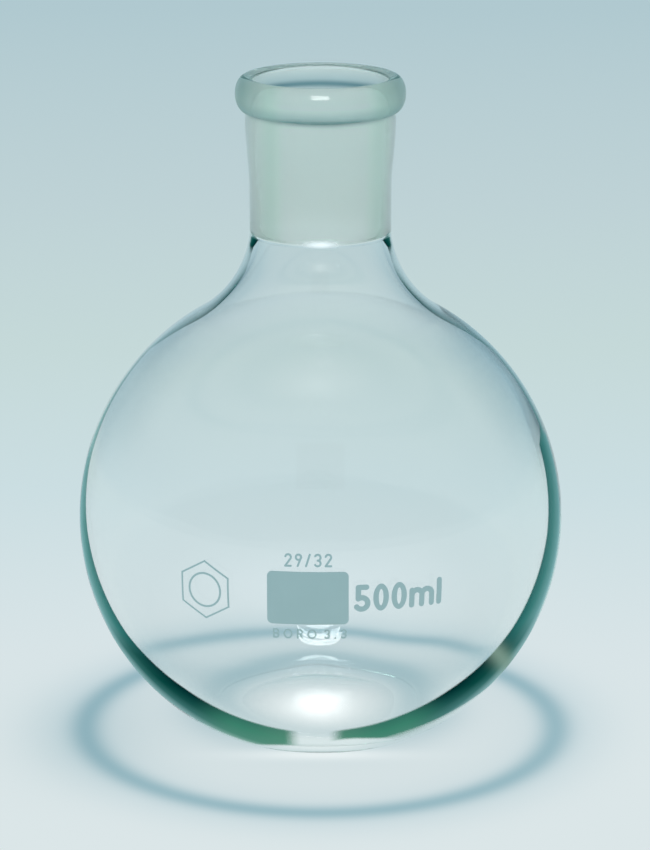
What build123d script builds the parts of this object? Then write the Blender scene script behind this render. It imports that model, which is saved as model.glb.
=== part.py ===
from build123d import *

import os
from math import atan2, cos, degrees, radians, sin, sqrt

# Flat-based laboratory flask, 500 ml, with a 29/32 conical ground socket.
# It is blown and fused borosilicate glass: a bulb with its flared shoulder, a socket
# sealed on top of it, and fired enamel marks on the front of the bulb.
# Units are millimetres. The origin is the centre of the foot on the bench, +Z runs up the
# neck, and the enamel marks face -Y.

# ---- driving dimensions: bulb ----
BULB_RADIUS = 52.5
CENTRE_HEIGHT = 46.5  # bulb centre above the bench
FOOT_INNER_RADIUS = 17.0  # the flask stands on a flat ring round a shallow push-up
PUNT_RISE = 1.0
KNUCKLE_RADIUS = 6.0  # from the foot round into the bulb
SHOULDER_RADIUS = 24.0  # from the bulb round into the neck
NECK_RADIUS = 15.15  # outside at the weld
NECK_BORE_RADIUS = 12.7
WELD_HEIGHT = 109.2  # where the socket is fused to the bulb's neck

# The inside of the bulb is a smaller sphere set higher, because blown glass is thickest low down.
INNER_RADIUS = 50.2
INNER_RISE = 1.0
FLOOR_THICKNESS = 3.0
INNER_KNUCKLE_RADIUS = 13.0
INNER_SHOULDER_RADIUS = 26.0

# ---- driving dimensions: socket, to the 29/32 conical joint size ----
JOINT_LARGE_RADIUS = 29.2 / 2
JOINT_LENGTH = 32.0
JOINT_TAPER = 1 / 10  # on diameter
JOINT_BOTTOM = 110.3
RELIEF_HEIGHT = 0.8  # small step from the ground cone down to the plain bore
BARREL_LOW_TOP = 119.0  # up to here the barrel is as wide as the neck
BARREL_HIGH_RADIUS = 16.05
BARREL_HIGH_BOTTOM = 134.0
BEAD_CENTRE = 15.85, 139.6  # radius and height
BEAD_HALF_WIDTH = 2.3
BEAD_HALF_HEIGHT = 3.8
BEAD_ROOT_FILLET = 0.7
LIP_FILLET = 0.5

# ---- driving dimensions: enamel marks ----
# A mark's start and middle are degrees round the bulb from the front; its base is a height.
ENAMEL_GAP = 0.005  # keeps the fired layer from sharing a face with the glass
ENAMEL_THICKNESS = 0.06
PATCH_WIDTH, PATCH_HEIGHT, PATCH_CORNER = 16.8, 11.5, 1.1
PATCH_MIDDLE, PATCH_BASE = -2.9, 38.2
CAPACITY_TEXT, CAPACITY_CAP, CAPACITY_STROKE = "500ml", 5.9, 1.15
CAPACITY_START, CAPACITY_BASE = 7.8, 40.9
JOINT_TEXT, JOINT_CAP, JOINT_STROKE = "29/32", 2.8, 0.42
JOINT_START, JOINT_BASE = -8.2, 50.7
GLASS_TEXT, GLASS_CAP, GLASS_STROKE = "BORO 3.3", 2.2, 0.36
GLASS_START, GLASS_BASE = -11.0, 34.9
HEXAGON_RADIUS, HEXAGON_RING_RADIUS, HEXAGON_STROKE = 6.4, 3.6, 0.42
HEXAGON_MIDDLE, HEXAGON_CENTRE_HEIGHT = -27.2, 44.1
LETTER_GAP = 0.10  # between two letters, as part of the cap height
JOINT_LETTER_GAP = 0.22
WIDE_LETTER_GAP = 0.42
WORD_GAP = 0.3


# ---- curves of a vessel's section, drawn as (radius, height) ----
def unit(x, y):
    length = sqrt(x * x + y * y)
    return x / length, y / length


def step_from(centre, way, distance):
    return centre[0] + distance * way[0], centre[1] + distance * way[1]


def arc_between(centre, radius, start_way, end_way):
    """Arc about centre, from one unit direction to another, the short way round."""
    middle_way = unit(start_way[0] + end_way[0], start_way[1] + end_way[1])
    return ThreePointArc(*(step_from(centre, way, radius) for way in (start_way, middle_way, end_way)))


def beside_both(first, first_reach, second, second_reach):
    """The point at the given distances from two points, to the right of the way between them."""
    gap = sqrt((second[0] - first[0]) ** 2 + (second[1] - first[1]) ** 2)
    way = unit(second[0] - first[0], second[1] - first[1])
    along = (first_reach**2 - second_reach**2 + gap**2) / (2 * gap)
    across = sqrt(first_reach**2 - along**2)
    return step_from(step_from(first, way, along), (way[1], -way[0]), across)


def vessel_wall(centre_height, radius, floor, foot_blend, neck_radius, shoulder_blend):
    """A sphere with a flat floor and a flared neck, as curves from the floor to the weld."""
    centre = 0, centre_height
    foot_fall = centre_height - floor - foot_blend
    foot_reach = sqrt((radius - foot_blend) ** 2 - foot_fall**2)
    foot_centre = foot_reach, floor + foot_blend
    weld = neck_radius, WELD_HEIGHT
    shoulder_centre = beside_both(centre, radius + shoulder_blend, weld, shoulder_blend)
    foot_way = unit(foot_reach, -foot_fall)
    shoulder_way = unit(shoulder_centre[0], shoulder_centre[1] - centre_height)
    sphere_low = step_from(centre, foot_way, radius)
    sphere_high = step_from(centre, shoulder_way, radius)
    inward = -shoulder_way[0], -shoulder_way[1]
    foot_arc = arc_between(foot_centre, foot_blend, (0, -1), foot_way)
    sphere_arc = ThreePointArc(sphere_low, (radius, centre_height), sphere_high)
    weld_way = unit(weld[0] - shoulder_centre[0], weld[1] - shoulder_centre[1])
    shoulder_arc = arc_between(shoulder_centre, shoulder_blend, inward, weld_way)
    return [foot_arc, sphere_arc, shoulder_arc], (foot_reach, floor)


def dome(crown_height, rim):
    """Shallow arc from a crown on the axis down to a rim point."""
    rise = crown_height - rim[1]
    curve_radius = (rim[0] ** 2 + rise**2) / (2 * rise)
    half_reach = rim[0] / 2
    half_drop = curve_radius - sqrt(curve_radius**2 - half_reach**2)
    return ThreePointArc((0, crown_height), (half_reach, crown_height - half_drop), rim)


def turned(section):
    """Solid of revolution about the flask's axis."""
    return revolve(Plane.XZ * section, Axis.Z, 360)


# ---- glass ----
def make_bulb():
    outer, foot_edge = vessel_wall(
        CENTRE_HEIGHT, BULB_RADIUS, 0, KNUCKLE_RADIUS, NECK_RADIUS, SHOULDER_RADIUS
    )
    inner, floor_edge = vessel_wall(
        CENTRE_HEIGHT + INNER_RISE,
        INNER_RADIUS,
        FLOOR_THICKNESS,
        INNER_KNUCKLE_RADIUS,
        NECK_BORE_RADIUS,
        INNER_SHOULDER_RADIUS,
    )
    foot_inner = FOOT_INNER_RADIUS, 0
    crown = FLOOR_THICKNESS + PUNT_RISE
    edges = [
        dome(PUNT_RISE, foot_inner),
        Line(foot_inner, foot_edge),
        *outer,
        Line((NECK_RADIUS, WELD_HEIGHT), (NECK_BORE_RADIUS, WELD_HEIGHT)),
        *inner,
        dome(crown, floor_edge),
        Line((0, crown), (0, PUNT_RISE)),
    ]
    return turned(make_face(edges))


def on_bead(radius, sign):
    """Height at which the bead's ellipse stands at a radius, above its centre or below."""
    across = (radius - BEAD_CENTRE[0]) / BEAD_HALF_WIDTH
    return BEAD_CENTRE[1] + sign * BEAD_HALF_HEIGHT * sqrt(1 - across**2)


def bead_angle(point):
    """Angle at which the bead's elliptical arc passes a point."""
    across = (point[0] - BEAD_CENTRE[0]) / BEAD_HALF_WIDTH
    up = (point[1] - BEAD_CENTRE[1]) / BEAD_HALF_HEIGHT
    return degrees(atan2(up, across))


def make_socket():
    cone_low = JOINT_LARGE_RADIUS - JOINT_LENGTH * JOINT_TAPER / 2, JOINT_BOTTOM
    cone_high = JOINT_LARGE_RADIUS, JOINT_BOTTOM + JOINT_LENGTH
    lip = JOINT_LARGE_RADIUS, on_bead(JOINT_LARGE_RADIUS, 1)
    root = BARREL_HIGH_RADIUS, on_bead(BARREL_HIGH_RADIUS, -1)
    high = BARREL_HIGH_RADIUS, BARREL_HIGH_BOTTOM
    low_top = NECK_RADIUS, BARREL_LOW_TOP
    weld_outer = NECK_RADIUS, WELD_HEIGHT
    weld_inner = NECK_BORE_RADIUS, WELD_HEIGHT
    down = (0, -1), (0, -1)
    start = bead_angle(root)
    bead = EllipticalCenterArc(
        BEAD_CENTRE, BEAD_HALF_WIDTH, BEAD_HALF_HEIGHT, start, arc_size=bead_angle(lip) - start
    )
    bore_edge = NECK_BORE_RADIUS, JOINT_BOTTOM - RELIEF_HEIGHT
    edges = [
        bead,
        Line(root, high),
        Spline(high, low_top, tangents=down),
        Polyline(low_top, weld_outer, weld_inner, bore_edge, cone_low, cone_high, lip),
    ]
    section = make_face(edges)
    section = fillet(section.vertices().sort_by_distance((*root, 0))[:1], BEAD_ROOT_FILLET)
    section = fillet(section.vertices().sort_by_distance((*lip, 0))[:1], LIP_FILLET)
    return turned(section)


# ---- strokes for the enamel marks, drawn flat with the base line along X ----
def bar(start, end, stroke):
    middle = (start[0] + end[0]) / 2, (start[1] + end[1]) / 2
    return SlotCenterPoint(middle, end, stroke)


def bend(centre, radius, start, sweep, stroke):
    """Round stroke about a centre, from start through sweep degrees, with round ends."""
    ends = Sketch()
    for angle in (start, start + sweep):
        end = step_from(centre, (cos(radians(angle)), sin(radians(angle))), radius)
        ends += Pos(*end) * Circle(stroke / 2)
    return trace(CenterArc(centre, radius, start, sweep), stroke) + ends


def loop(centre, half_width, half_height, stroke):
    outer = Ellipse(half_width + stroke / 2, half_height + stroke / 2)
    return Pos(*centre) * (outer - Ellipse(half_width - stroke / 2, half_height - stroke / 2))


def letter(character, cap, stroke):
    """(sketch, width) of one character, cap high, its strokes inside its box."""
    low, high = stroke / 2, cap - stroke / 2
    if character == "0" or character == "O":
        width = cap * (0.56 if character == "0" else 0.86)
        return loop((width / 2, cap / 2), width / 2 - low, cap / 2 - low, stroke), width
    if character == "l":
        return bar((low, low), (low, high), stroke), stroke
    if character == ".":
        return Pos(low, low) * Circle(0.6 * stroke), stroke
    if character == "/":
        width = 0.42 * cap
        return bar((low, low), (width - low, high), stroke), width
    if character == "m":
        return letter_m(cap, stroke)
    if character in "23":
        return letter_two_or_three(character, cap, stroke)
    if character in "BR":
        return letter_b_or_r(character, cap, stroke)
    width = 0.54 * cap
    right = width - low
    if character == "5":
        bowl = (0.62 * cap - stroke) / 2
        centre = right - bowl, low + bowl
        knee = step_from(centre, (cos(radians(125)), sin(radians(125))), bowl)
        five = bend(centre, bowl, -145, 270, stroke)
        five += bar((knee[0], high), knee, stroke)
        return five + bar((knee[0], high), (right - low / 2, high), stroke), width
    if character == "9":
        bowl = width / 2 - low
        nine = loop((width / 2, high - bowl), bowl, bowl, stroke)
        return nine + bar((right, high - bowl), (0.4 * width, low), stroke), width
    raise ValueError(character)


def letter_m(cap, stroke):
    arch = 0.19 * cap
    low, spring = stroke / 2, 0.74 * cap - stroke / 2 - arch
    stems = [low, low + 2 * arch, low + 4 * arch]
    strokes = bar((low, low), (low, spring + arch), stroke)
    for stem in stems[1:]:
        strokes += bar((stem, low), (stem, spring), stroke)
        strokes += bend((stem - arch, spring), arch, 0, 180, stroke)
    return strokes, stems[-1] + low


def letter_two_or_three(character, cap, stroke):
    low, high = stroke / 2, cap - stroke / 2
    if character == "3":
        bowl = (cap - stroke) / 4
        upper = bend((low + bowl, high - bowl), bowl, -90, 240, stroke)
        return upper + bend((low + bowl, low + bowl), bowl, -150, 240, stroke), 2 * bowl + stroke
    width = 0.56 * cap
    bowl = width / 2 - low
    centre = width / 2, high - bowl
    knee = step_from(centre, (cos(radians(-35)), sin(radians(-35))), bowl)
    two = bend(centre, bowl, -35, 200, stroke)
    two += bar(knee, (low, low), stroke)
    return two + bar((low, low), (width - low, low), stroke), width


def letter_b_or_r(character, cap, stroke):
    bowl = (cap - stroke) / 4
    low, high, middle = stroke / 2, cap - stroke / 2, cap / 2
    spring = low + 1.1 * bowl
    strokes = bar((low, low), (low, high), stroke)
    for level in (middle, high):
        strokes += bar((low, level), (spring, level), stroke)
    strokes += bend((spring, high - bowl), bowl, -90, 180, stroke)
    if character == "B":
        strokes += bar((low, low), (spring, low), stroke)
        strokes += bend((spring, low + bowl), bowl, -90, 180, stroke)
    else:
        strokes += bar((spring, middle), (spring + bowl, low), stroke)
    return strokes, spring + bowl + low


# ---- enamel ----
def facing(azimuth, base):
    """Plane through the flask's axis that faces a way round the bulb, at a height."""
    turn = radians(azimuth)
    return Plane(origin=(0, 0, base), x_dir=(cos(turn), sin(turn), 0), z_dir=(sin(turn), -cos(turn), 0))


def fired(sketch):
    """The mark as a thin layer on the bulb, pressed straight back from its plane."""
    inside = BULB_RADIUS + ENAMEL_GAP
    shell = Sphere(inside + ENAMEL_THICKNESS) - Sphere(inside)
    return extrude(sketch, BULB_RADIUS + 1) & (Pos(0, 0, CENTRE_HEIGHT) * shell)


def fired_text(text, cap, stroke, start, base, gap=LETTER_GAP):
    """Each letter is set on its own azimuth, so the line wraps round the bulb."""
    glyphs = []
    along = 0
    for character in text:
        if character == " ":
            along += WORD_GAP * cap
            continue
        sketch, width = letter(character, cap, stroke)
        azimuth = start + degrees((along + width / 2) / BULB_RADIUS)
        glyphs += fired(facing(azimuth, base) * Pos(-width / 2, 0) * sketch).solids()
        along += width + gap * cap
    return Compound(children=glyphs)


def make_patch():
    patch = RectangleRounded(PATCH_WIDTH, PATCH_HEIGHT, PATCH_CORNER)
    return fired(facing(PATCH_MIDDLE, PATCH_BASE + PATCH_HEIGHT / 2) * patch)


def make_hexagon():
    def hexagon(radius):
        return RegularPolygon(radius, 6, rotation=30)

    half = HEXAGON_STROKE / 2
    mark = hexagon(HEXAGON_RADIUS) - hexagon(HEXAGON_RADIUS - HEXAGON_STROKE)
    mark += Circle(HEXAGON_RING_RADIUS + half) - Circle(HEXAGON_RING_RADIUS - half)
    return fired(facing(HEXAGON_MIDDLE, HEXAGON_CENTRE_HEIGHT) * mark)


PIECES = {
    "bulb": make_bulb(),
    "neck_socket": make_socket(),
    "writing_patch": make_patch(),
    "capacity_mark": fired_text(CAPACITY_TEXT, CAPACITY_CAP, CAPACITY_STROKE, CAPACITY_START, CAPACITY_BASE),
    "joint_size_mark": fired_text(
        JOINT_TEXT, JOINT_CAP, JOINT_STROKE, JOINT_START, JOINT_BASE, JOINT_LETTER_GAP
    ),
    "glass_type_mark": fired_text(
        GLASS_TEXT, GLASS_CAP, GLASS_STROKE, GLASS_START, GLASS_BASE, WIDE_LETTER_GAP
    ),
    "hexagon_mark": make_hexagon(),
}

os.makedirs("parts", exist_ok=True)
for name, piece in PIECES.items():
    export_step(piece, f"parts/{name}.step")
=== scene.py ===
"""Looks of the laboratory flask: clear blown glass, a fine-ground socket and fired enamel marks,
standing on a pale bench under one overhead softbox."""

from math import atan2, cos, degrees, hypot, pi, radians, sin, sqrt

import bpy
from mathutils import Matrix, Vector


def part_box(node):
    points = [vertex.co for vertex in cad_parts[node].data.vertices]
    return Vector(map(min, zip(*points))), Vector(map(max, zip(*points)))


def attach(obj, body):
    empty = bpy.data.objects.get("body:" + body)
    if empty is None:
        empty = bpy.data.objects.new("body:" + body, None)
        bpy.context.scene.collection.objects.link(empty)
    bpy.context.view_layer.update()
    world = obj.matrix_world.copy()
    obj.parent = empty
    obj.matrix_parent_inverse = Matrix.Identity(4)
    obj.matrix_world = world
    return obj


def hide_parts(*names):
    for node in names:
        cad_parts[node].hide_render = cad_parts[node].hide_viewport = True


MM = 0.001

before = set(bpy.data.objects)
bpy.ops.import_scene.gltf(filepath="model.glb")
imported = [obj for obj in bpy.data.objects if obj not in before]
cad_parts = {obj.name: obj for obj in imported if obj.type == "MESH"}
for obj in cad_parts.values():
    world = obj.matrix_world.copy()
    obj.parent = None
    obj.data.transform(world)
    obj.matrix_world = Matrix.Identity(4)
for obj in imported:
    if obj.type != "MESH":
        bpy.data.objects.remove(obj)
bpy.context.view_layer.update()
bulb_low, bulb_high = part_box("bulb")
socket_low, socket_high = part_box("neck_socket")

# ---- shape of the glass, in millimetres, built the way the CAD solids are built ----
BULB_RADIUS = round((bulb_high.x - bulb_low.x) / 2 / MM, 1)
WELD_HEIGHT = round(bulb_high.z / MM, 1)
RIM_TOP = round(socket_high.z / MM, 1)
RIM_RADIUS = round((socket_high.x - socket_low.x) / 2 / MM, 2)
CENTRE_HEIGHT = 46.5
FOOT_INNER_RADIUS = 17.0
PUNT_RISE = 1.0
KNUCKLE_RADIUS = 6.0
SHOULDER_RADIUS = 24.0
NECK_RADIUS = 15.15
NECK_BORE_RADIUS = 12.7
INNER_RADIUS = 50.2
INNER_RISE = 1.0
FLOOR_THICKNESS = 3.0
INNER_KNUCKLE_RADIUS = 13.0
INNER_SHOULDER_RADIUS = 26.0
CONE_BOTTOM = 110.3
CONE_LENGTH = 32.0
CONE_TOP_RADIUS = 14.6
CONE_BOTTOM_RADIUS = CONE_TOP_RADIUS - CONE_LENGTH / 20  # 1 in 10 on diameter
RELIEF_HEIGHT = 0.8
BEAD_HALF_WIDTH = 2.3
BEAD_HALF_HEIGHT = 3.8
BEAD_RADIUS = RIM_RADIUS - BEAD_HALF_WIDTH
BEAD_HEIGHT = RIM_TOP - BEAD_HALF_HEIGHT
BEAD_BOTTOM = BEAD_HEIGHT - BEAD_HALF_HEIGHT
BARREL_LOW_TOP = 119.0
BARREL_HIGH_RADIUS = 16.05
BARREL_HIGH_BOTTOM = 134.0

SEAM_GAP = 0.02  # keeps the two welded faces from lying on each other
SEGMENTS = 288
ARC_STEP = 1.2  # degrees between points on a round stretch of a section, and fewer on a wide one
WIDE_ARC = 20
LEAST_ARC_STEPS = 6
DOME_STEPS = 16
EASE_STEPS = 14
MERGE_DISTANCE = 0.02
ON_AXIS = 1e-6
SHARP_ANGLE = 35  # degrees

# The blown wall is thicker on +X than on -X by twice the shift, away from the foot and the weld.
WALL_SHIFT = 0.8
SHIFT_LOW = 4, 18  # heights between which the shift sets in
SHIFT_HIGH = 104, 78  # and between which it dies out
# Waves on the inside of the wall: size in mm, times round, start angle, mm of height per radian.
WANDER = [(0.10, 2, 1.3, 40), (0.06, 3, -0.6, -17), (0.025, 7, 0.0, 6), (0.02, 11, 2.0, -4.5)]
WANDER_LOW = 6, 28
WANDER_HIGH = 100, 72


# ---------------------------------------------------------------- sections as (radius, height)
def arc(centre, radius, start, end, stretch=1.0):
    """Points on an arc from one angle to another, in degrees; stretch makes it an ellipse."""
    count = max(LEAST_ARC_STEPS, int(abs(end - start) / ARC_STEP * max(1.0, radius / WIDE_ARC)))
    points = []
    for i in range(count + 1):
        angle = radians(start + (end - start) * i / count)
        points.append((centre[0] + radius * cos(angle), centre[1] + stretch * radius * sin(angle)))
    return points


def line(start, end, step=1.5):
    count = max(1, int(hypot(end[0] - start[0], end[1] - start[1]) / step))
    return [
        (start[0] + (end[0] - start[0]) * i / count, start[1] + (end[1] - start[1]) * i / count)
        for i in range(count + 1)
    ]


def smooth(t):
    return t * t * (3 - 2 * t)


def ease(start, end):
    """A wall that slides from one radius to another with an upright tangent at both ends."""
    points = []
    for i in range(EASE_STEPS + 1):
        t = i / EASE_STEPS
        radius = start[0] + (end[0] - start[0]) * smooth(t)
        points.append((radius, start[1] + (end[1] - start[1]) * t))
    return points


def dome(crown, rim):
    """Shallow arc from a crown on the axis down to a rim point."""
    rise = crown - rim[1]
    radius = (rim[0] ** 2 + rise**2) / (2 * rise)
    points = []
    for i in range(DOME_STEPS + 1):
        reach = rim[0] * i / DOME_STEPS
        points.append((reach, crown - radius + sqrt(radius**2 - reach**2)))
    return points


def degrees_of(rise, reach):
    return degrees(atan2(rise, reach))


def beside_both(first, first_reach, second, second_reach):
    """The point at the given distances from two points, to the right of the way between them."""
    gap = hypot(second[0] - first[0], second[1] - first[1])
    way = (second[0] - first[0]) / gap, (second[1] - first[1]) / gap
    along = (first_reach**2 - second_reach**2 + gap**2) / (2 * gap)
    across = sqrt(first_reach**2 - along**2)
    return first[0] + way[0] * along + way[1] * across, first[1] + way[1] * along - way[0] * across


def vessel_wall(centre_height, radius, floor, foot_blend, neck_radius, shoulder_blend):
    """Foot blend, sphere and flared shoulder, from the floor up to the weld."""
    foot_fall = centre_height - floor - foot_blend
    foot_reach = sqrt((radius - foot_blend) ** 2 - foot_fall**2)
    centre = 0, centre_height
    shoulder = beside_both(centre, radius + shoulder_blend, (neck_radius, WELD_HEIGHT), shoulder_blend)
    low = -degrees_of(foot_fall, foot_reach)
    high = degrees_of(shoulder[1] - centre_height, shoulder[0])
    weld = -180 + degrees_of(shoulder[1] - WELD_HEIGHT, shoulder[0] - neck_radius)
    points = arc((foot_reach, floor + foot_blend), foot_blend, -90, low)
    points += arc(centre, radius, low, high)
    points += arc(shoulder, shoulder_blend, high - 180, weld)
    return points


def tidy(points):
    """The same section without points that sit on top of each other."""
    kept = [points[0]]
    for point in points[1:]:
        if hypot(point[0] - kept[-1][0], point[1] - kept[-1][1]) > MERGE_DISTANCE:
            kept.append(point)
    return kept


# ---------------------------------------------------------------- the band inside the outline
# Painted shade: a deep green-blue band laid over the glass inside its outline, where the eye looks along
# the wall.
# Each stop is a height in mm with: how wide the band is as a share of the glass's radius there,
# how deep its colour is, how solid it is, and where it starts to fade (0 is its inner edge,
# 1 the outline).
BAND_LEFT = [
    (0, 0.101, 0.80, 1.0, 0.80), (11, 0.100, 0.90, 1.0, 0.97), (18, 0.090, 1.00, 1.0, 0.98),
    (23, 0.075, 0.90, 1.0, 0.98), (28, 0.060, 0.45, 1.0, 0.92), (48, 0.032, 0.30, 0.9, 0.90),
    (60, 0.020, 0.10, 0.7, 0.80),
]
BAND_RIGHT = [
    (0, 0.107, 0.80, 1.0, 0.45), (7, 0.107, 0.80, 1.0, 0.62), (13, 0.109, 0.85, 1.0, 0.96),
    (18, 0.104, 1.00, 1.0, 0.98), (24, 0.090, 0.95, 1.0, 0.98), (30, 0.079, 0.50, 1.0, 0.90),
    (48, 0.060, 0.45, 0.95, 0.85), (66, 0.050, 0.50, 0.95, 0.80), (68.5, 0.020, 0.30, 0.6, 0.30),
]
BAND_NECK = [
    (84, 0.014, 0.4, 0.50, 0.10), (88, 0.031, 0.5, 0.65, 0.05), (91, 0.045, 0.7, 0.80, 0.05),
    (96, 0.060, 0.8, 1.0, 0.08), (99, 0.074, 0.7, 0.95, 0.08), (102, 0.088, 0.6, 0.60, 0.05),
    (104, 0.084, 0.7, 0.30, 0.05), (106, 0.080, 0.8, 0.45, 0.15), (107.5, 0.085, 1.0, 1.0, 0.60),
    (109.2, 0.130, 1.0, 1.0, 0.75),
]
BAND_PARTS = ("width", "depth", "solid", "fade")
BAND_END = 110.0
NO_BAND = 0.01, 0.0, 0.0, 0.0  # on the inside of the glass and above the band's end
LEAST_BAND = 0.012  # every band is wider than this


def on_stops(stops, height):
    """The stop values at a height, straight between two stops and level beyond the ends."""
    if height <= stops[0][0]:
        return stops[0][1:]
    for low, high in zip(stops, stops[1:]):
        if height <= high[0]:
            share = (height - low[0]) / (high[0] - low[0])
            return [a + (b - a) * share for a, b in zip(low[1:], high[1:])]
    return stops[-1][1:]


def band_at(side_stops, height, inside):
    if inside or height > BAND_END:
        return NO_BAND
    return on_stops(side_stops + BAND_NECK, height)


def write_band(mesh, heights, insides):
    for side, stops in (("left", BAND_LEFT), ("right", BAND_RIGHT)):
        values = [band_at(stops, height, inside) for height, inside in zip(heights, insides)]
        for index, part in enumerate(BAND_PARTS):
            layer = mesh.attributes.new(f"band_{part}_{side}", "FLOAT", "POINT")
            layer.data.foreach_set("value", [value[index] for value in values])


# ---------------------------------------------------------------- meshes
def share_between(value, start, end):
    """0 at the start and before it, 1 at the end and past it; the end may be the lower one."""
    return min(1.0, max(0.0, (value - start) / (end - start)))


def wall_wander(height, turn):
    """How far the inside of the bulb strays outward, as blown glass does, in millimetres."""
    waves = sum(size * sin(times * turn + start + height / climb) for size, times, start, climb in WANDER)
    return waves * share_between(height, *WANDER_LOW) * share_between(height, *WANDER_HIGH)


def wall_shift(height):
    rise = share_between(height, *SHIFT_LOW) * share_between(height, *SHIFT_HIGH)
    return -WALL_SHIFT * smooth(rise)


def ring_points(radius, height, inside):
    """The vertices of one ring in metres; a ring on the axis is a single vertex."""
    if radius < ON_AXIS:
        return [(0, 0, height * MM)]
    blown = inside and height < WELD_HEIGHT
    shift = wall_shift(height) if blown else 0
    points = []
    for k in range(SEGMENTS):
        turn = 2 * pi * k / SEGMENTS
        reach = radius + (wall_wander(height, turn) if blown else 0)
        points.append(((reach * cos(turn) + shift) * MM, reach * sin(turn) * MM, height * MM))
    return points


def ring_faces(start, pole_here, following, pole_next):
    """Faces between two rings, given each ring's first vertex and whether it is a single one."""
    faces = []
    for k in range(SEGMENTS):
        after = (k + 1) % SEGMENTS
        if pole_here:
            faces.append([start, following + after, following + k])
        elif pole_next:
            faces.append([start + k, start + after, following])
        else:
            faces.append([start + k, start + after, following + after, following + k])
    return faces


def turned_mesh(name, outside, inside, closed, material, kind_of):
    """A surface of revolution from two lists of (radius, height) in mm, one after the other."""
    rings = outside + inside
    vertices = []
    starts = []
    heights = []
    insides = []
    for index, (radius, height) in enumerate(rings):
        is_inside = index >= len(outside)
        points = ring_points(radius, height, is_inside)
        starts.append(len(vertices))
        vertices += points
        heights += [height] * len(points)
        insides += [is_inside] * len(points)
    faces = []
    kinds = []
    for index in range(len(rings) if closed else len(rings) - 1):
        following = (index + 1) % len(rings)
        poles = rings[index][0] < ON_AXIS, rings[following][0] < ON_AXIS
        faces += ring_faces(starts[index], poles[0], starts[following], poles[1])
        kinds += [kind_of(rings[index], rings[following])] * SEGMENTS
    mesh = bpy.data.meshes.new(name)
    mesh.from_pydata(vertices, [], faces)
    kind = mesh.attributes.new("kind", "FLOAT", "FACE")
    kind.data.foreach_set("value", kinds)
    mesh.polygons.foreach_set("use_smooth", [True] * len(faces))
    mesh.materials.append(material)
    mesh.update()
    mesh.set_sharp_from_angle(angle=radians(SHARP_ANGLE))
    write_band(mesh, heights, insides)
    piece = bpy.data.objects.new(name, mesh)
    bpy.context.scene.collection.objects.link(piece)
    return piece


# ---------------------------------------------------------------- node helpers
def new_material(name):
    material = bpy.data.materials.new(name)
    material.use_nodes = True
    tree = material.node_tree
    tree.nodes.clear()
    return material, tree


def connect(tree, entry, value):
    """Give a node's input another node's output, or else a fixed value."""
    if hasattr(value, "is_output"):
        tree.links.new(value, entry)
    else:
        entry.default_value = value


def add(tree, kind, **inputs):
    """A node with its inputs set by name (spaces as _) or by number (i0, i1 and so on)."""
    node = tree.nodes.new(kind)
    for key, value in inputs.items():
        place = int(key[1:]) if key.startswith("i") else key.replace("_", " ")
        connect(tree, node.inputs[place], value)
    return node


def maths(tree, operation, first, second=0.0, third=0.0, clamp=False):
    node = tree.nodes.new("ShaderNodeMath")
    node.operation = operation
    node.use_clamp = clamp
    for entry, value in zip(node.inputs, (first, second, third)):
        connect(tree, entry, value)
    return node.outputs[0]


def product(tree, *values):
    result = values[0]
    for value in values[1:]:
        result = maths(tree, "MULTIPLY", result, value)
    return result


def minus(tree, value):
    return maths(tree, "MULTIPLY", value, -1.0)


def blend_colours(tree, share, first, second, mode="MIX"):
    """The node keeps its colour inputs at 6 and 7, and its colour output at 2."""
    node = add(tree, "ShaderNodeMix", i0=share)
    node.data_type = "RGBA"
    node.blend_type = mode
    connect(tree, node.inputs[6], first)
    connect(tree, node.inputs[7], second)
    return node.outputs[2]


def colour_ramp(tree, share, stops):
    node = tree.nodes.new("ShaderNodeValToRGB")
    tree.links.new(share, node.inputs[0])
    while len(node.color_ramp.elements) < len(stops):
        node.color_ramp.elements.new(0.5)
    for element, (place, colour) in zip(node.color_ramp.elements, stops):
        element.position = place
        element.color = colour
    return node.outputs[0]


def rising(tree, value, low, high):
    """0 below low, 1 above high, smooth between."""
    node = tree.nodes.new("ShaderNodeMapRange")
    node.interpolation_type = "SMOOTHSTEP"
    node.inputs["From Min"].default_value = low
    node.inputs["From Max"].default_value = high
    tree.links.new(value, node.inputs["Value"])
    return node.outputs[0]


def falling(tree, value, low, high):
    """1 below low, 0 above high, smooth between."""
    return rising(tree, minus(tree, value), -high, -low)


def bell(tree, value, centre, width):
    away = maths(tree, "DIVIDE", maths(tree, "SUBTRACT", value, centre), width)
    return maths(tree, "EXPONENT", minus(tree, maths(tree, "MULTIPLY", away, away)))


def overlaid(tree, surface, share, colour):
    """The surface with a diffuse tint laid over it."""
    tint = add(tree, "ShaderNodeBsdfDiffuse", Color=colour)
    return add(tree, "ShaderNodeMixShader", i0=share, i1=surface, i2=tint.outputs[0]).outputs[0]


def named_layer(tree, name):
    node = tree.nodes.new("ShaderNodeAttribute")
    node.attribute_name = name
    return node.outputs["Fac"]


def position(tree, origin=None):
    """(x, y, z) outputs of the shaded point in metres, seen from the origin or else its object."""
    place = add(tree, "ShaderNodeTexCoord")
    place.object = origin
    return add(tree, "ShaderNodeSeparateXYZ", Vector=place.outputs["Object"]).outputs


def screen(red, green, blue):
    """Linear colour from 0 to 255 screen values."""
    def to_linear(value):
        value /= 255
        return value / 12.92 if value <= 0.04045 else ((value + 0.055) / 1.055) ** 2.4
    return to_linear(red), to_linear(green), to_linear(blue), 1.0


# ---------------------------------------------------------------- clear glass
WHITE = 1, 1, 1, 1
GLASS_IOR = 1.473
BODY_TINT = (0.10, 0.66, 0.52, 1)
BODY_TINT_DENSITY = 9.0
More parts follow.
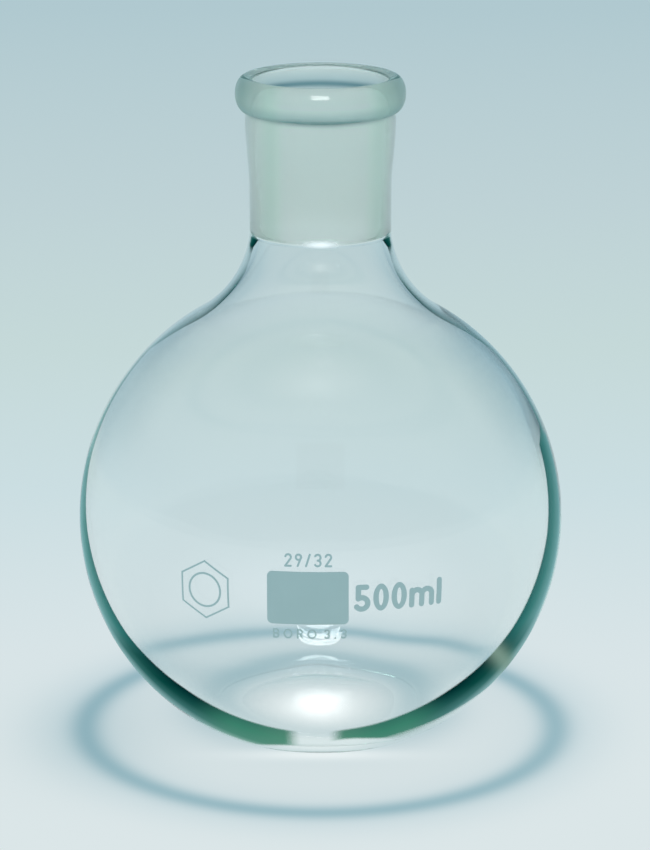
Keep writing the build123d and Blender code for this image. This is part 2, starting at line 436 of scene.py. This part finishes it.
# Colours of the painted shade across the band, from its inner edge (0) to the outline (1).
DEEP_STOPS = [
    (0.0, (0.000, 0.018, 0.019, 1)), (0.2, (0.001, 0.042, 0.038, 1)), (0.5, (0.004, 0.080, 0.064, 1)),
    (0.75, (0.04, 0.17, 0.15, 1)), (1.0, (0.40, 0.60, 0.58, 1)),
]
FOOT_STOPS = [
    (0.0, (0.050, 0.200, 0.145, 1)), (0.4, (0.070, 0.290, 0.190, 1)), (0.75, (0.11, 0.32, 0.23, 1)),
    (1.0, (0.42, 0.62, 0.54, 1)),
]
SHALLOW_STOPS = [
    (0.0, (0.03, 0.24, 0.21, 1)), (0.4, (0.11, 0.40, 0.36, 1)), (0.8, (0.35, 0.62, 0.60, 1)),
    (1.0, (0.60, 0.78, 0.80, 1)),
]
BAND_EDGE = 0.10  # share of the band over which its inner edge sets in
SIDE_BLEND = 8 * MM  # half the stretch of x over which left turns into right

# The view from above, in which the band round the foot is laid out: what is up on the screen.
FOOT_VIEW = radians(19.8)
FOOT_GREEN = 0.36, 0.60  # radians from the lowest point between which the foot's painted green shade ends
GAP_CENTRE = -1.3 * MM
GAP_EDGE = 2.6 * MM, 6.6 * MM  # the band is broken at the front of the foot
GAP_GLOW_EDGE = 4 * MM, 16 * MM  # and lightened with painted light on both sides of the gap
GAP_GLOW = 0.38
GAP_GLOW_TINT = (0.20, 0.42, 0.29, 1)
FOOT_CUT = 6.0 * MM, 6.7 * MM  # the band ends here below the origin, a little higher on the right
FOOT_CUT_RISE = 1.4 * MM
BREAK_ANGLE = 0.685  # a painted warm glint that breaks the band, low on the right
BREAK_WIDTH = 0.045
BREAK_SHARE = 0.8
BREAK_TINT = (0.34, 0.44, 0.34, 1)

# Painted soft blue shade inside the upper outline, and a painted paler line of light on the outline at
# the right.
BULB_VIEW = radians(16.5)
UPPER_SHADE_BOTTOM = 58 * MM, 76 * MM
UPPER_SHADE_TOP = 86 * MM, 94 * MM
UPPER_SHADE_FRONT = 2 * MM, 6 * MM
UPPER_SHADE_REACH = 0.74, 0.975  # share of the radius over which it builds up
UPPER_SHADE_END = 0.978, 0.992
UPPER_SHADE_LEFT = 0.26
UPPER_SHADE_RIGHT = 0.40
UPPER_SHADE_TINT = (0.30, 0.46, 0.51, 1)
LINE_FRONT = 1.5 * MM, 3 * MM
LINE_REACH = 0.978, 0.990
LINE_SHARE = 0.5
LINE_TINT = (0.60, 0.75, 0.77, 1)


def band_value(tree, part, side_share):
    """The band's left and right values, mixed by which side of the flask the point is on."""
    left, right = [named_layer(tree, f"band_{part}_{side}") for side in ("left", "right")]
    return maths(tree, "MULTIPLY_ADD", maths(tree, "SUBTRACT", right, left), side_share, left)


def reach_from_eye(tree):
    """How far out the point is on a ball seen from the eye: 0 in the middle, 1 on the outline."""
    facing = add(tree, "ShaderNodeLayerWeight", Blend=0.5).outputs["Facing"]
    toward = maths(tree, "SUBTRACT", 1.0, facing)
    left_over = maths(tree, "SUBTRACT", 1.0, maths(tree, "MULTIPLY", toward, toward), clamp=True)
    return maths(tree, "SQRT", left_over)


def band_solid(tree, across, side):
    """How solid the band is at a place across it."""
    fade = band_value(tree, "fade", side)
    past = maths(tree, "SUBTRACT", across, fade)
    faded = maths(tree, "DIVIDE", past, maths(tree, "SUBTRACT", 1.0, fade), clamp=True)
    keep = maths(tree, "POWER", maths(tree, "SUBTRACT", 1.0, faded), 2.0)
    edge = rising(tree, across, 0.0, BAND_EDGE)
    return maths(tree, "MULTIPLY", maths(tree, "MULTIPLY", edge, keep), band_value(tree, "solid", side))


def upper_painted_shade(tree, surface, x, y, z, reach, width, side):
    """The surface with the painted soft shade and the painted pale line of light along the upper outline
    laid over it.
    """
    below_centre = -CENTRE_HEIGHT * MM * sin(BULB_VIEW)
    nearness = maths(tree, "MULTIPLY_ADD", y, -cos(BULB_VIEW), below_centre)
    toward_eye = maths(tree, "MULTIPLY_ADD", z, sin(BULB_VIEW), nearness)
    outside = maths(tree, "GREATER_THAN", width, LEAST_BAND)
    upper = product(tree, outside, rising(tree, z, *UPPER_SHADE_BOTTOM), falling(tree, z, *UPPER_SHADE_TOP))
    share = maths(tree, "MULTIPLY_ADD", side, UPPER_SHADE_RIGHT - UPPER_SHADE_LEFT, UPPER_SHADE_LEFT)
    before_end = maths(tree, "SUBTRACT", 1.0, rising(tree, reach, *UPPER_SHADE_END))
    front = rising(tree, toward_eye, *UPPER_SHADE_FRONT)
    upper_shade = product(tree, upper, front, rising(tree, reach, *UPPER_SHADE_REACH), before_end, share)
    surface = overlaid(tree, surface, upper_shade, UPPER_SHADE_TINT)
    near_line = rising(tree, toward_eye, *LINE_FRONT)
    outline = product(tree, upper, near_line, rising(tree, reach, *LINE_REACH), side, LINE_SHARE)
    return overlaid(tree, surface, outline, LINE_TINT)


def banded_glass(tree, x, y, z):
    """Clear glass with a band of painted deep green-blue shade laid over it towards its outline."""
    side = rising(tree, x, -SIDE_BLEND, SIDE_BLEND)
    width = band_value(tree, "width", side)
    reach = reach_from_eye(tree)
    inward = maths(tree, "DIVIDE", maths(tree, "SUBTRACT", reach, 1.0), width)
    across = maths(tree, "ADD", inward, 1.0, clamp=True)
    solid = band_solid(tree, across, side)

    from_gap = maths(tree, "ABSOLUTE", maths(tree, "SUBTRACT", x, GAP_CENTRE))
    rise = maths(tree, "MULTIPLY", z, cos(FOOT_VIEW))
    up_screen = maths(tree, "ADD", rise, maths(tree, "MULTIPLY", y, sin(FOOT_VIEW)))
    fall = maths(tree, "SUBTRACT", CENTRE_HEIGHT * cos(FOOT_VIEW) * MM, up_screen)
    from_bottom = maths(tree, "ABSOLUTE", maths(tree, "ARCTAN2", x, fall))
    low = falling(tree, from_bottom, *FOOT_GREEN)
    cut_height = maths(tree, "MULTIPLY_ADD", side, FOOT_CUT_RISE, minus(tree, up_screen))
    in_gap = maths(tree, "MULTIPLY", falling(tree, from_gap, *GAP_EDGE), low)
    bare = maths(tree, "MAXIMUM", in_gap, rising(tree, cut_height, *FOOT_CUT))

    shallow = colour_ramp(tree, across, SHALLOW_STOPS)
    deep = colour_ramp(tree, across, DEEP_STOPS)
    foot = colour_ramp(tree, across, FOOT_STOPS)
    colour = blend_colours(tree, band_value(tree, "depth", side), shallow, deep)
    near_gap = maths(tree, "MULTIPLY", falling(tree, from_gap, *GAP_GLOW_EDGE), GAP_GLOW)
    colour = blend_colours(tree, low, colour, blend_colours(tree, near_gap, foot, GAP_GLOW_TINT))
    in_break = bell(tree, maths(tree, "ARCTAN2", fall, x), BREAK_ANGLE, BREAK_WIDTH)
    colour = blend_colours(tree, maths(tree, "MULTIPLY", in_break, BREAK_SHARE), colour, BREAK_TINT)

    glass = add(tree, "ShaderNodeBsdfPrincipled", Roughness=0.0, IOR=GLASS_IOR, Base_Color=WHITE)
    glass.inputs["Transmission Weight"].default_value = 1.0
    surface = upper_painted_shade(tree, glass.outputs[0], x, y, z, reach, width, side)
    covered = maths(tree, "MULTIPLY", solid, maths(tree, "SUBTRACT", 1.0, bare))
    return overlaid(tree, surface, covered, colour)


# ---------------------------------------------------------------- the socket
CLEAR, SEAM, GROUND = 0, 1, 2

POWDER_TINT = (0.93, 0.99, 0.94, 1)
POWDER_SHARE = 0.45
GROUND_GLOW = (0.048, 0.056, 0.045, 1)  # painted glow, emitted by the front of the cone in place of light it passes on from all round
# Painted streaks of refraction down the front of the cone: middle and half width in mm, and colour.
GROUND_STREAKS = [(-10.0, 2.0, (0.45, 0.76, 0.60, 1)), (11.5, 2.0, (0.48, 0.78, 0.64, 1))]
STREAK_SHARE = 0.30
NEAR_FACE = 2 * MM, 6 * MM  # how far from the axis plane a face counts as the front or the back
# Painted lines across the clear front, of shade and of light: height, half height, half width, share and
# colour.
FRONT_LINES = [
    (BEAD_BOTTOM + 0.2, 0.7, 13.0, 0.7, (0.10, 0.21, 0.21, 1)),  # painted shade in the root of the rim
    (CONE_BOTTOM - 0.3, 0.7, 3.2, 0.9, (0.98, 0.99, 1.0, 1)),  # painted glint at the weld
]
# Painted dark shade lines across the ground back, seen through the mouth: height, half height, share and
# colour.
BACK_LINES = [
    (RIM_TOP - 4.3, 0.8, 0.85, (0.07, 0.18, 0.21, 1)),
    (RIM_TOP - 3.2, 1.8, 0.30, (0.20, 0.36, 0.42, 1)),
]
# Painted shade on the rolled rim: darker on its lower half, and darker green at its sides.
RIM_START = (BEAD_BOTTOM - 0.6) * MM, (BEAD_BOTTOM + 0.8) * MM
RIM_LOWER_HALF = (BEAD_BOTTOM + 0.4) * MM, (BEAD_BOTTOM + 3.7) * MM
RIM_LOWER_SHARE = 0.35
RIM_LOWER_TINT = (0.18, 0.38, 0.36, 1)
RIM_SIDES = 10.5 * MM, 18.5 * MM
RIM_SIDES_FRONT = -8 * MM, 1 * MM
RIM_SIDES_SHARE = 0.36
RIM_SIDES_TINT = (0.11, 0.27, 0.22, 1)


def ground_glass(tree):
    """Fine-ground inside of the cone: it scatters what passes and shows a milky grey of its own."""
    place = add(tree, "ShaderNodeTexCoord").outputs["Object"]
    grain = add(tree, "ShaderNodeTexNoise", Vector=place, Scale=2600.0, Detail=3.0)
    cloud = add(tree, "ShaderNodeTexNoise", Vector=place, Scale=90.0, Detail=2.0)
    rough = maths(tree, "MULTIPLY_ADD", cloud.outputs[0], 0.12, 0.36)
    bump = add(tree, "ShaderNodeBump", Strength=0.25, Distance=0.04 * MM, Height=grain.outputs[0])
    frosted = add(
        tree, "ShaderNodeBsdfPrincipled", Roughness=rough, IOR=GLASS_IOR, Normal=bump.outputs[0],
        Base_Color=WHITE,
    )
    frosted.inputs["Transmission Weight"].default_value = 1.0
    milky = add(tree, "ShaderNodeBsdfTranslucent", Color=POWDER_TINT)
    chalk = add(tree, "ShaderNodeBsdfDiffuse", Color=POWDER_TINT)
    powder = add(tree, "ShaderNodeMixShader", i0=0.5, i1=milky.outputs[0], i2=chalk.outputs[0])
    return add(
        tree, "ShaderNodeMixShader", i0=POWDER_SHARE, i1=frosted.outputs[0], i2=powder.outputs[0],
    ).outputs[0]


def painted_rim(tree, surface, x, y, z):
    """The clear socket with painted shade on the rolled rim and the painted glint at the weld."""
    front = rising(tree, minus(tree, y), *NEAR_FACE)
    for height, half_height, half_width, share, tint in FRONT_LINES:
        upright = bell(tree, z, height * MM, half_height * MM)
        across = bell(tree, x, 0.0, half_width * MM)
        surface = overlaid(tree, surface, product(tree, upright, across, front, share), tint)
    on_rim = rising(tree, z, *RIM_START)
    aside = rising(tree, maths(tree, "ABSOLUTE", x), *RIM_SIDES)
    near_side = rising(tree, minus(tree, y), *RIM_SIDES_FRONT)
    sides = product(tree, aside, on_rim, near_side, RIM_SIDES_SHARE)
    surface = overlaid(tree, surface, sides, RIM_SIDES_TINT)
    lower = product(tree, falling(tree, z, *RIM_LOWER_HALF), on_rim, front, RIM_LOWER_SHARE)
    return overlaid(tree, surface, lower, RIM_LOWER_TINT)


def painted_cone(tree, x, y, z):
    """The ground cone with painted green streaks of refraction down its front, painted dark shade arcs at
    the back of the mouth, and a painted glow on its front.
    """
    front = rising(tree, minus(tree, y), *NEAR_FACE)
    back = rising(tree, y, *NEAR_FACE)
    frost = ground_glass(tree)
    for height, half_height, share, tint in BACK_LINES:
        arc_share = product(tree, bell(tree, z, height * MM, half_height * MM), back, share)
        frost = overlaid(tree, frost, arc_share, tint)
    for centre, width, tint in GROUND_STREAKS:
        streak = product(tree, bell(tree, x, centre * MM, width * MM), front, STREAK_SHARE)
        frost = overlaid(tree, frost, streak, tint)
    painted_glow = add(tree, "ShaderNodeEmission", Color=GROUND_GLOW, Strength=front)
    return add(tree, "ShaderNodeAddShader", i0=frost, i1=painted_glow.outputs[0]).outputs[0]


def flask_glass(name, turntable, with_ground):
    """One material for a whole blown piece. The faces' kind picks clear, welded or ground glass."""
    material, tree = new_material(name)
    x, y, z = position(tree, turntable)
    kind = named_layer(tree, "kind")
    surface = banded_glass(tree, x, y, z)
    if with_ground:
        surface = painted_rim(tree, surface, x, y, z)
        frost = painted_cone(tree, x, y, z)
        is_ground = maths(tree, "GREATER_THAN", kind, (SEAM + GROUND) / 2)
        surface = add(tree, "ShaderNodeMixShader", i0=is_ground, i1=surface, i2=frost).outputs[0]
    at_seam = maths(tree, "COMPARE", kind, float(SEAM), 0.25)
    through = add(tree, "ShaderNodeBsdfTransparent", Color=WHITE).outputs[0]
    surface = add(tree, "ShaderNodeMixShader", i0=at_seam, i1=surface, i2=through).outputs[0]
    body = add(tree, "ShaderNodeVolumeAbsorption", Color=BODY_TINT, Density=BODY_TINT_DENSITY)
    add(tree, "ShaderNodeOutputMaterial", Surface=surface, Volume=body.outputs[0])
    return material


# ---------------------------------------------------------------- enamel
# The outer face's two colours are white enamel darkened by painted shade; the noise between them is the
# enamel's own uneven tone.
ENAMEL_DARK = (0.37, 0.50, 0.50, 1)
ENAMEL_LIGHT = (0.45, 0.58, 0.58, 1)
ENAMEL_BACK = (0.86, 0.95, 0.95, 1)  # the side that lies on the glass, left white without painted shade


def fired_enamel():
    material, tree = new_material("fired_enamel")
    coordinates = add(tree, "ShaderNodeTexCoord").outputs
    place = coordinates["Object"]
    inward = add(tree, "ShaderNodeSeparateXYZ", Vector=coordinates["Normal"]).outputs[1]
    grain = add(tree, "ShaderNodeTexNoise", Vector=place, Scale=1800.0, Detail=4.0)
    patchy = add(tree, "ShaderNodeTexNoise", Vector=place, Scale=160.0, Detail=3.0)
    shade = maths(tree, "MULTIPLY_ADD", patchy.outputs[0], 0.5, 0.25, clamp=True)
    # Painted shade darkens the outer face; the face on the glass stays white.
    colour = blend_colours(tree, shade, ENAMEL_DARK, ENAMEL_LIGHT)
    colour = blend_colours(tree, rising(tree, inward, 0.0, 0.2), colour, ENAMEL_BACK)
    bump = add(tree, "ShaderNodeBump", Strength=0.3, Distance=0.03 * MM, Height=grain.outputs[0])
    rough = maths(tree, "MULTIPLY_ADD", grain.outputs[0], 0.2, 0.4)
    enamel = add(
        tree, "ShaderNodeBsdfPrincipled", Base_Color=colour, Roughness=rough, Normal=bump.outputs[0],
    )
    add(tree, "ShaderNodeOutputMaterial", Surface=enamel.outputs[0])
    return material


def dress_marks():
    enamel = fired_enamel()
    for name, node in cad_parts.items():
        if name.endswith("_mark") or name == "writing_patch":
            node.data.materials.clear()
            node.data.materials.append(enamel)


# ---------------------------------------------------------------- the two blown pieces
def at_weld(start, end):
    return all(abs(point[1] - WELD_HEIGHT) < 2 * SEAM_GAP for point in (start, end))


def bulb_surface(start, end):
    return SEAM if at_weld(start, end) else CLEAR


def socket_surface(start, end):
    if at_weld(start, end):
        return SEAM
    slack = 0.01
    low = CONE_BOTTOM - RELIEF_HEIGHT - slack
    high = CONE_BOTTOM + CONE_LENGTH + slack
    on_cone = all(
        point[0] < CONE_TOP_RADIUS + slack and low <= point[1] <= high for point in (start, end)
    )
    return GROUND if on_cone else CLEAR


def make_bulb(turntable):
    outer = vessel_wall(CENTRE_HEIGHT, BULB_RADIUS, 0, KNUCKLE_RADIUS, NECK_RADIUS, SHOULDER_RADIUS)
    inner = vessel_wall(
        CENTRE_HEIGHT + INNER_RISE, INNER_RADIUS, FLOOR_THICKNESS,
        INNER_KNUCKLE_RADIUS, NECK_BORE_RADIUS, INNER_SHOULDER_RADIUS,
    )
    under = dome(PUNT_RISE, (FOOT_INNER_RADIUS, 0)) + line((FOOT_INNER_RADIUS, 0), outer[0])
    floor = dome(FLOOR_THICKNESS + PUNT_RISE, inner[0])
    outside = tidy(under + outer)
    inside = tidy(floor + inner)[::-1]
    glass = flask_glass("clear_glass", turntable, False)
    piece = turned_mesh("blown_bulb", outside, inside, False, glass, bulb_surface)
    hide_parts("bulb")
    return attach(piece, "root")


def make_socket(turntable):
    across = (CONE_TOP_RADIUS - BEAD_RADIUS) / BEAD_HALF_WIDTH
    root = (BARREL_HIGH_RADIUS - BEAD_RADIUS) / BEAD_HALF_WIDTH
    lip_angle = degrees_of(sqrt(1 - across**2), across)
    root_angle = -degrees_of(sqrt(1 - root**2), root)
    stretch = BEAD_HALF_HEIGHT / BEAD_HALF_WIDTH
    bead = arc((BEAD_RADIUS, BEAD_HEIGHT), BEAD_HALF_WIDTH, root_angle, lip_angle, stretch)
    cone_top = CONE_TOP_RADIUS, CONE_BOTTOM + CONE_LENGTH
    cone_bottom = CONE_BOTTOM_RADIUS, CONE_BOTTOM
    bore = NECK_BORE_RADIUS, CONE_BOTTOM - RELIEF_HEIGHT
    outside = line((NECK_RADIUS, WELD_HEIGHT + SEAM_GAP), (NECK_RADIUS, BARREL_LOW_TOP))
    outside += ease((NECK_RADIUS, BARREL_LOW_TOP), (BARREL_HIGH_RADIUS, BARREL_HIGH_BOTTOM))
    outside += line((BARREL_HIGH_RADIUS, BARREL_HIGH_BOTTOM), bead[0], step=0.8)
    outside += bead
    inside = line(bead[-1], cone_top, step=0.4)[1:]
    inside += line(cone_top, cone_bottom)
    inside += line(cone_bottom, bore, step=0.4)
    inside += line(bore, (NECK_BORE_RADIUS, WELD_HEIGHT + SEAM_GAP), step=0.6)
    glass = flask_glass("socket_glass", turntable, True)
    piece = turned_mesh("ground_socket", tidy(outside), tidy(inside), True, glass, socket_surface)
    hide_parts("neck_socket")
    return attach(piece, "root")


# ---------------------------------------------------------------- camera
CAMERA_PLACE = Vector((0, -0.8016, 0.2839))
CAMERA_TILT = 15.16  # degrees below level
CAMERA_YAW = 0.069  # degrees towards +X
CAMERA_LENS = 162.2
SENSOR_WIDTH = 36
VIEW_RANGE = 0.01, 30


def make_camera():
    data = bpy.data.cameras.new("camera")
    data.lens = CAMERA_LENS
    data.sensor_width = SENSOR_WIDTH
    data.clip_start, data.clip_end = VIEW_RANGE
    camera = bpy.data.objects.new("camera", data)
    bpy.context.scene.collection.objects.link(camera)
    camera.location = CAMERA_PLACE
    camera.rotation_euler = (radians(90 - CAMERA_TILT), 0, radians(-CAMERA_YAW))
    bpy.context.scene.camera = camera
    return camera


# ---------------------------------------------------------------- bench, in metres
# The rings and pools that light draws through the flask are painted on the bench.
RING_ACROSS = 0.0516  # the shadow ring is a little longer towards the camera than across
RING_ALONG = 0.0550
RING_FORWARD = 0.0047
RING_BAND = 1.0, 0.075  # middle and width, as shares of the ring's size
RING_TINT = (0.52, 0.68, 0.73, 1)
HALO_BAND = 1.05, 0.19
HALO_TINT = (0.86, 0.91, 0.93, 1)
DISC_EDGE = 0.8, 1.0
DISC_TINT = (0.94, 0.955, 0.96, 1)
# An oval is its middle towards the back, half its size across, and half along. A patch is the
# middle and width across, and the middle and width along.
INNER_OVAL = 0.003, 0.0205, 0.0225  # a faint arc behind the foot
INNER_BAND = 1.15, 0.38
INNER_START = -0.045, 0.015
INNER_TINT = (0.60, 0.73, 0.77, 1)
SHADE_PATCH = (-0.050, 0.018), (-0.012, 0.030)  # the bench is a little darker left of the foot
SHADE_TINT = (0.87, 0.91, 0.92, 1)
LENS_PATCH = (0.0, 0.034), (0.085, 0.030)  # the bulb gathers a little light behind it
LENS_TINT = (1.09, 1.07, 1.08, 1)
POOL_OVAL = 0.0, 0.0180, 0.0170
POOL_EDGE = 0.45, 1.15
POOL_COLOUR = screen(238, 244, 245)
LIP_PATCH = (0.0, 0.017), (-0.025, 0.0035)  # a bright line before the foot
LIP_COLOUR = screen(232, 241, 242)
SPOT_PATCH = (0.0, 0.006), (-0.001, 0.008)  # the lamp gathered under the middle of the foot
SPOT_COLOUR = (1.6, 1.6, 1.6, 1)
BENCH_FADE = 0.9, 0.1  # places on the stops per metre away from the camera, and at the flask
BENCH_STOPS = [
    (0.07, screen(219, 230, 232)), (0.14, screen(216, 228, 231)), (0.26, screen(203, 222, 226)),
    (0.40, screen(197, 217, 217)), (0.60, screen(190, 210, 214)), (1.0, screen(176, 201, 208)),
]


def oval(tree, x, y, middle, half_across, half_along):
    """How far a point on the bench is out from (0, middle), where 1 is on the oval."""
    across = maths(tree, "DIVIDE", x, half_across)
    along = maths(tree, "DIVIDE", maths(tree, "SUBTRACT", y, middle), half_along)
    squares = maths(tree, "MULTIPLY_ADD", across, across, maths(tree, "MULTIPLY", along, along))
    return maths(tree, "SQRT", squares)


def patch(tree, x, y, across, along):
    return product(tree, bell(tree, x, *across), bell(tree, y, *along))


def bench_top():
    """Pale bench whose shade deepens away from the camera."""
    material, tree = new_material("bench_top")
    x, y, _ = position(tree)
    colour = colour_ramp(tree, maths(tree, "MULTIPLY_ADD", y, *BENCH_FADE, clamp=True), BENCH_STOPS)
    reach = oval(tree, x, y, -RING_FORWARD, RING_ACROSS, RING_ALONG)
    inner_reach = oval(tree, x, y, *INNER_OVAL)
    inner_arc = product(tree, bell(tree, inner_reach, *INNER_BAND), rising(tree, y, *INNER_START))
    shades = (
        (bell(tree, reach, *RING_BAND), RING_TINT),
        (bell(tree, reach, *HALO_BAND), HALO_TINT),
        (falling(tree, reach, *DISC_EDGE), DISC_TINT),
        (inner_arc, INNER_TINT),
        (patch(tree, x, y, *SHADE_PATCH), SHADE_TINT),
        (patch(tree, x, y, *LENS_PATCH), LENS_TINT),
    )
    for share, tint in shades:
        colour = blend_colours(tree, 1.0, colour, blend_colours(tree, share, WHITE, tint), "MULTIPLY")
    lights = (
        (falling(tree, oval(tree, x, y, *POOL_OVAL), *POOL_EDGE), POOL_COLOUR),
        (patch(tree, x, y, *LIP_PATCH), LIP_COLOUR),
        (patch(tree, x, y, *SPOT_PATCH), SPOT_COLOUR),
    )
    for share, light_colour in lights:
        colour = blend_colours(tree, share, colour, light_colour)
    light = add(tree, "ShaderNodeEmission", Color=colour, Strength=1.0)
    add(tree, "ShaderNodeOutputMaterial", Surface=light.outputs[0])
    material.cycles.emission_sampling = "NONE"
    return material


# ---------------------------------------------------------------- studio, in metres
# The studio turns with the camera about the flask's axis, as a product table does.
STUDIO_RADIUS = 4.0
STUDIO_SEGMENTS = 96
STUDIO_LEVELS = 24
FILL = 1.2  # how much brighter the walls are for what scatters light than for the eye
BACKDROP_RISE = 0.0, 0.35 * STUDIO_RADIUS  # heights between which the backdrop darkens
BACKDROP_LOW = screen(172, 198, 206)
BACKDROP_HIGH = screen(120, 150, 162)
FRONT_START = -0.2 * STUDIO_RADIUS, 0.5 * STUDIO_RADIUS
FRONT_COLOUR = screen(150, 170, 176)
SOFTBOX_WIDTH = 0.28
SOFTBOX_DEPTH = 0.24
SOFTBOX_HEIGHT = 1.0
SOFTBOX_FORWARD = 0.095
SOFTBOX_GLOW = 45.0
SOFTBOX_CORNERS = 32
SOFTBOX_SQUARENESS = 4  # 2 would be an ellipse
SOFTBOX_FACES = 2.5  # seen by rays that passed more faces of glass than this
RIM_LIGHT_LIFT = 34.0  # degrees above level, in front
RIM_LIGHT_REACH = 0.9
RIM_LIGHT_SIDE = 0.36
RIM_LIGHT_GLOW = 9.0
RIM_LIGHT_FACES = 0.5  # seen by rays that passed fewer faces of glass than this
LIGHT_BOUNCES = 24


def is_scattered(tree, path):
    """1 for a ray that comes from a dull surface, else 0."""
    return maths(tree, "GREATER_THAN", path["Diffuse Depth"], 0.5)


def studio_walls():
    """What stands round the bench: a pale backdrop that darkens upward, and a dim side behind
    the camera."""
    material, tree = new_material("studio_walls")
    _, y, z = position(tree)
    back = blend_colours(tree, rising(tree, z, *BACKDROP_RISE), BACKDROP_LOW, BACKDROP_HIGH)
    colour = blend_colours(tree, rising(tree, minus(tree, y), *FRONT_START), back, FRONT_COLOUR)
    path = add(tree, "ShaderNodeLightPath").outputs
    strength = maths(tree, "MULTIPLY_ADD", is_scattered(tree, path), FILL, 1.0)
    light = add(tree, "ShaderNodeEmission", Color=colour, Strength=strength)
    add(tree, "ShaderNodeOutputMaterial", Surface=light.outputs[0])
    material.cycles.emission_sampling = "NONE"
    return material


def lamp_cloth(name, strength, comparison, faces):
    """Glows for what scatters light, and for rays that passed the right number of glass faces.
    It lets all other rays past."""
    material, tree = new_material(name)
    path = add(tree, "ShaderNodeLightPath").outputs
    seen = maths(tree, comparison, path["Transmission Depth"], faces)
    lit = maths(tree, "MAXIMUM", seen, is_scattered(tree, path))
    glow = add(tree, "ShaderNodeEmission", Color=WHITE, Strength=strength)
    past = add(tree, "ShaderNodeBsdfTransparent")
    cloth = add(tree, "ShaderNodeMixShader", i0=lit, i1=past.outputs[0], i2=glow.outputs[0])
    add(tree, "ShaderNodeOutputMaterial", Surface=cloth.outputs[0])
    return material


def make_turntable(camera):
    turntable = bpy.data.objects.new("turntable", None)
    bpy.context.scene.collection.objects.link(turntable)
    follow = turntable.constraints.new("LOCKED_TRACK")
    follow.target = camera
    follow.track_axis = "TRACK_NEGATIVE_Y"
    follow.lock_axis = "LOCK_Z"
    return turntable


def stage_mesh(name, vertices, faces, material, turntable):
    mesh = bpy.data.meshes.new(name)
    mesh.from_pydata(vertices, [], faces)
    mesh.materials.append(material)
    thing = bpy.data.objects.new(name, mesh)
    bpy.context.scene.collection.objects.link(thing)
    thing.parent = turntable
    return thing


def studio_ring(lift):
    """Points round the studio dome at an angle above the bench."""
    turns = [2 * pi * k / STUDIO_SEGMENTS for k in range(STUDIO_SEGMENTS)]
    reach = STUDIO_RADIUS * cos(lift)
    return [(reach * cos(turn), reach * sin(turn), STUDIO_RADIUS * sin(lift)) for turn in turns]


def make_bench(turntable):
    stage_mesh("bench", studio_ring(0), [list(range(STUDIO_SEGMENTS))], bench_top(), turntable)


def make_walls(turntable):
    points = []
    for level in range(STUDIO_LEVELS + 1):
        points += studio_ring(pi / 2 * level / STUDIO_LEVELS)
    faces = []
    for level in range(STUDIO_LEVELS):
        low = level * STUDIO_SEGMENTS
        high = low + STUDIO_SEGMENTS
        for k in range(STUDIO_SEGMENTS):
            after = (k + 1) % STUDIO_SEGMENTS
            faces.append([low + k, low + after, high + after, high + k])
    stage_mesh("walls", points, faces, studio_walls(), turntable)


def make_softbox(turntable):
    """Overhead light. It is seen through the glass only, not mirrored on the outside."""
    cloth = lamp_cloth("softbox_cloth", SOFTBOX_GLOW, "GREATER_THAN", SOFTBOX_FACES)
    corners = []
    for k in range(SOFTBOX_CORNERS):
        turn = 2 * pi * k / SOFTBOX_CORNERS
        powers = abs(cos(turn)) ** SOFTBOX_SQUARENESS + abs(sin(turn)) ** SOFTBOX_SQUARENESS
        squared = powers ** (-1 / SOFTBOX_SQUARENESS)
        across = SOFTBOX_WIDTH / 2 * squared * cos(turn)
        along = SOFTBOX_DEPTH / 2 * squared * sin(turn) - SOFTBOX_FORWARD
        corners.append((across, along, SOFTBOX_HEIGHT))
    stage_mesh("softbox", corners, [list(range(SOFTBOX_CORNERS))[::-1]], cloth, turntable)


def make_rim_light(turntable, socket):
    """Small front light that only the socket sees: it puts the glint on the rolled rim."""
    cloth = lamp_cloth("rim_light_cloth", RIM_LIGHT_GLOW, "LESS_THAN", RIM_LIGHT_FACES)
    lift = radians(RIM_LIGHT_LIFT)
    back = Vector((0, -cos(lift), sin(lift)))
    up = Vector((0, sin(lift), cos(lift)))
    centre = Vector((0, 0, RIM_TOP * MM)) + RIM_LIGHT_REACH * back
    half = RIM_LIGHT_SIDE / 2
    corners = []
    for side, rise in ((-1, -1), (1, -1), (1, 1), (-1, 1)):
        corners.append(centre + Vector((side * half, 0, 0)) + up * rise * half)
    light = stage_mesh("rim_light", corners, [[3, 2, 1, 0]], cloth, turntable)
    lit_pieces = bpy.data.collections.new("lit_by_rim_light")
    bpy.context.scene.collection.children.link(lit_pieces)
    lit_pieces.objects.link(socket)
    light.light_linking.receiver_collection = lit_pieces


def set_light_paths():
    """Plain colours, and enough bounces for light to get through every layer of glass."""
    scene = bpy.context.scene
    scene.view_settings.view_transform = "Standard"
    scene.cycles.use_denoising = True
    scene.cycles.max_bounces = LIGHT_BOUNCES
    scene.cycles.transmission_bounces = LIGHT_BOUNCES
    scene.cycles.transparent_max_bounces = LIGHT_BOUNCES
    scene.cycles.glossy_bounces = LIGHT_BOUNCES
    scene.cycles.diffuse_bounces = LIGHT_BOUNCES


camera = make_camera()
turntable = make_turntable(camera)
make_bulb(turntable)
socket = make_socket(turntable)
dress_marks()
make_bench(turntable)
make_walls(turntable)
make_softbox(turntable)
make_rim_light(turntable, socket)
set_light_paths()
